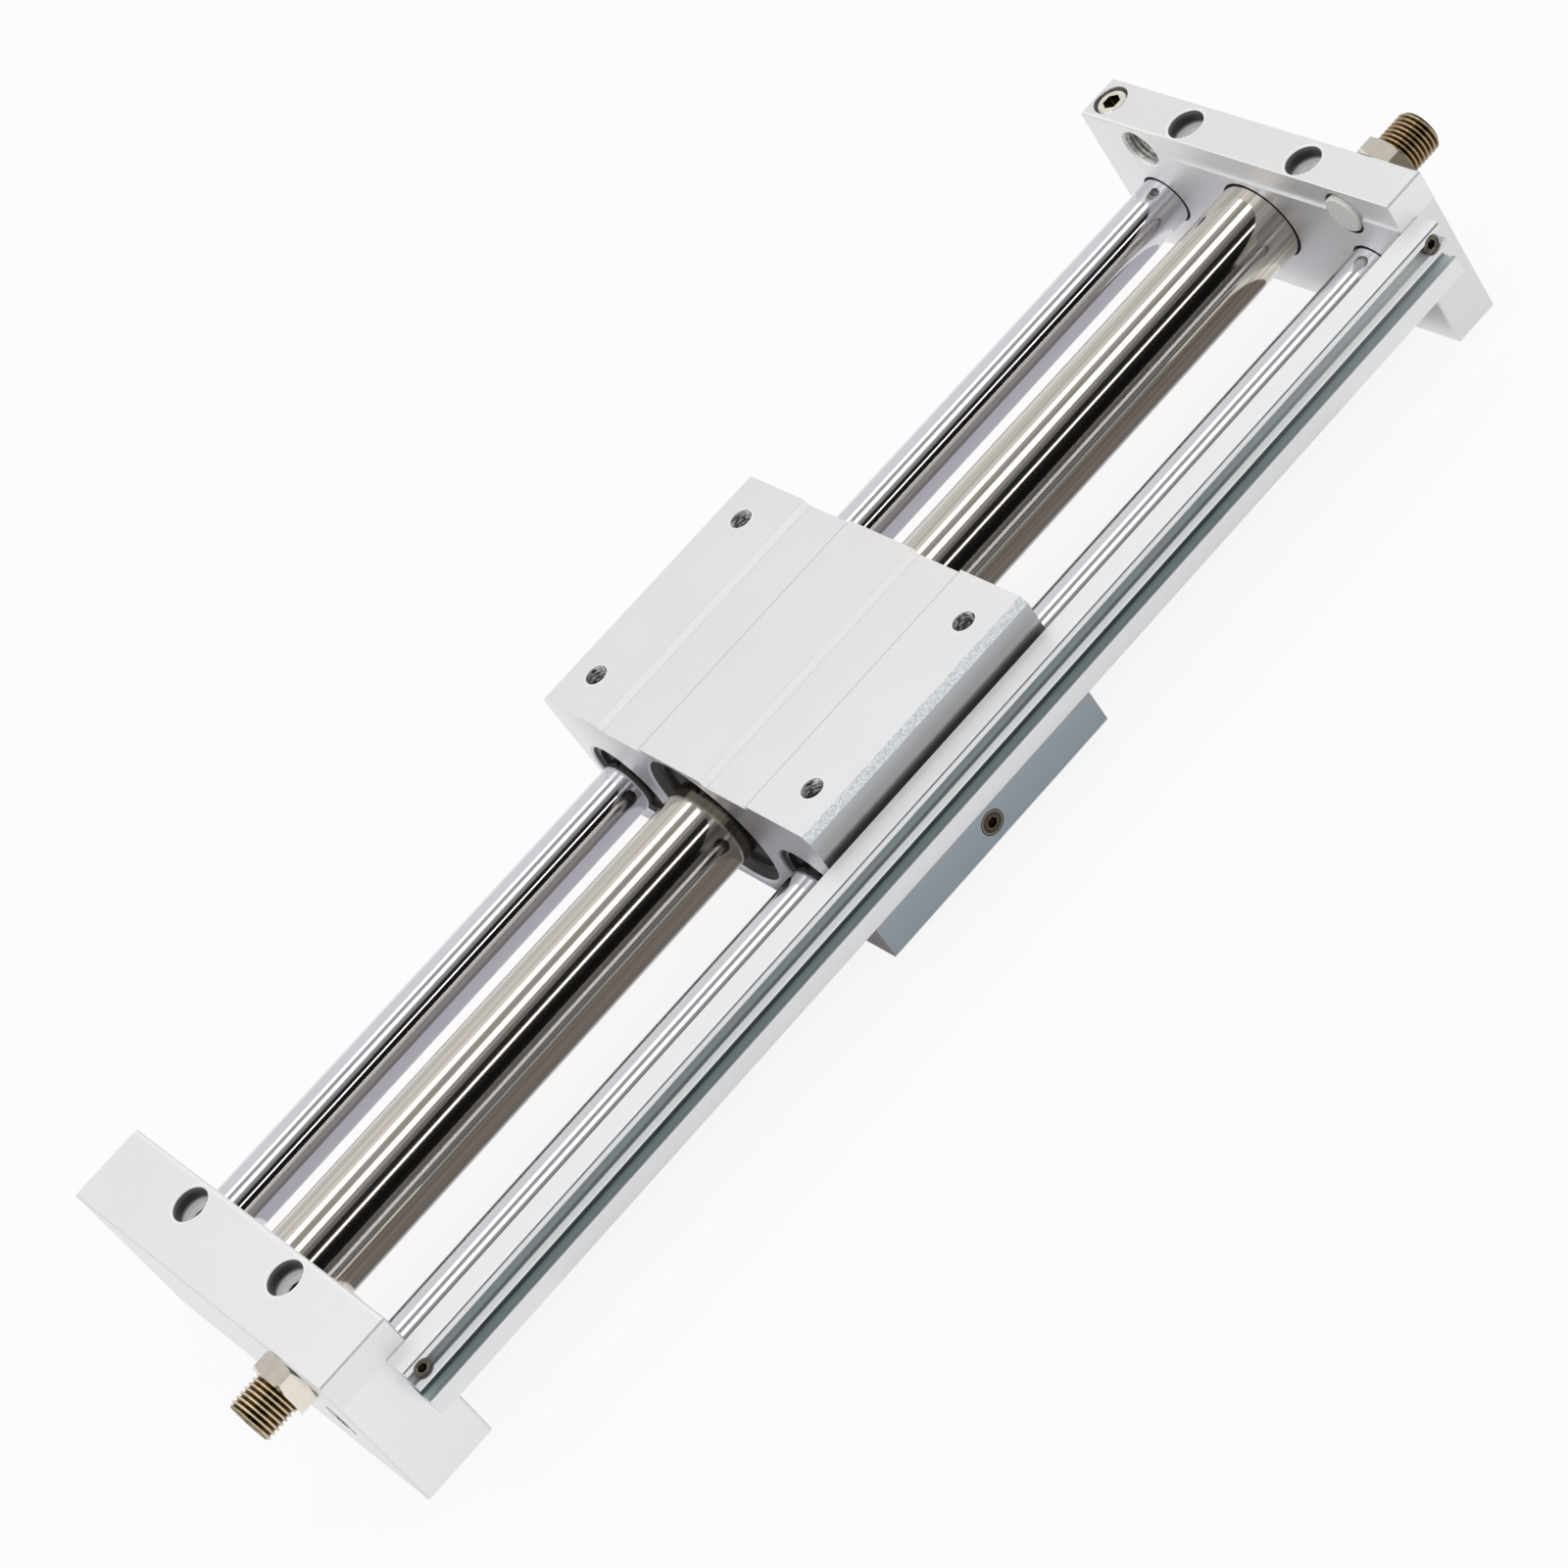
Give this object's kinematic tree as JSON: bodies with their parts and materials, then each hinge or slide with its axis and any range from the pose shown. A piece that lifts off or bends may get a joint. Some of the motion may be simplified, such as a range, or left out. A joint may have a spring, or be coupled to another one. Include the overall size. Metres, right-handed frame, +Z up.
{
  "type": "rodless pneumatic cylinder",
  "caption": "Magnetically coupled rodless air cylinder with a guided slide block, end plates, adjustable stops and a switch rail.",
  "frame": {"origin": "centre of the four base bolt holes, on the mounting face under the end plates", "axes": "+X along the tube towards the ported end plate, +Y away from the switch rail, +Z up from the mounting face to the slide block's top"},
  "size_m": [0.4663, 0.136, 0.0531],
  "materials": {
    "end_plate": "machined, clear anodised, satin",
    "slide_block": "extruded and machined, clear anodised",
    "rail": "extruded, clear anodised",
    "tube": "drawn stainless steel, brushed round",
    "shaft": "ground and hard chromed",
    "adjuster": "plated steel, warm tone",
    "screw": "plated steel",
    "brass_plug": "turned brass",
    "bumper": "cast urethane",
    "bearing_steel": "ground bearing steel",
    "cage": "moulded plastic",
    "seal": "moulded rubber",
    "scraper": "moulded plastic",
    "wear_ring": "filled bearing plastic",
    "clip": "blackened spring steel",
    "sleeve": "turned",
    "magnet": "nickel plated rare earth magnet",
    "yoke": "turned and plated soft iron",
    "piston": "turned"
  },
  "bodies": {
    "frame": {"plate_a": "end_plate", "plate_b": "end_plate", "cylinder_tube": "tube", "guide_shaft_left": "shaft", "guide_shaft_right": "shaft", "switch_rail": "rail", "rail_screws": "screw", "shaft_end_screws": "screw", "shaft_grub_screws": "screw", "tube_seal_rings": "seal", "shaft_seal_rings": "seal", "top_pipe_plug": "brass_plug", "passage_plug": "brass_plug", "lock_nut_a": "adjuster", "lock_nut_b": "adjuster"},
    "stop_a": {"bumper_a": "bumper"},
    "stop_screw_a": {"adjusting_bolt_a": "adjuster"},
    "stop_b": {"bumper_b": "bumper"},
    "stop_screw_b": {"adjusting_bolt_b": "adjuster"},
    "table": {"slide_block": "slide_block", "ball_bushing_left_a": "bearing_steel", "ball_bushing_left_b": "bearing_steel", "ball_bushing_right_a": "bearing_steel", "ball_bushing_right_b": "bearing_steel", "bushing_cages": "cage", "bushing_seals": "seal", "bushing_clips": "clip", "slider_sleeve": "sleeve", "slider_magnets": "magnet", "slider_yokes": "yoke", "slider_spacers": "sleeve", "slider_wear_rings": "wear_ring", "slider_scrapers": "scraper", "slider_clips": "clip", "switch_magnet": "magnet", "side_plug_screw": "brass_plug"},
    "piston": {"piston_rod": "bearing_steel", "piston_yokes": "yoke", "piston_magnets": "magnet", "piston_body_a": "piston", "piston_body_b": "piston", "piston_seals": "seal", "piston_wear_rings": "wear_ring", "piston_nuts": "screw", "piston_bumpers": "bumper"}
  },
  "joints": [
    {"name": "table_travel", "type": "slide", "parent": "frame", "child": "table", "axis": [1, 0, 0], "range_m": [-0.1576, 0.1424]},
    {"name": "piston_travel", "type": "slide", "parent": "frame", "child": "piston", "axis": [1, 0, 0], "range_m": [-0.1576, 0.1424]},
    {"name": "stop_a_travel", "type": "slide", "parent": "frame", "child": "stop_a", "axis": [1, 0, 0], "range_m": [-0.0024, 0.003]},
    {"name": "stop_a_turn", "type": "hinge", "parent": "stop_a", "child": "stop_screw_a", "pos_m": [0.21095, -0.0425, 0.0435], "axis": [1, 0, 0], "range_deg": [-600, 750]},
    {"name": "stop_b_travel", "type": "slide", "parent": "frame", "child": "stop_b", "axis": [-1, 0, 0], "range_m": [-0.0024, 0.003]},
    {"name": "stop_b_turn", "type": "hinge", "parent": "stop_b", "child": "stop_screw_b", "pos_m": [-0.22015, -0.0425, 0.0435], "axis": [-1, 0, 0], "range_deg": [-600, 750]}
  ],
  "couplings": [
    {"joint": "piston_travel", "follows": "table_travel", "ratio": 1},
    {"joint": "stop_a_turn", "follows": "stop_a_travel", "rad_per_m": 4188.8},
    {"joint": "stop_b_turn", "follows": "stop_b_travel", "rad_per_m": 4188.8}
  ]
}
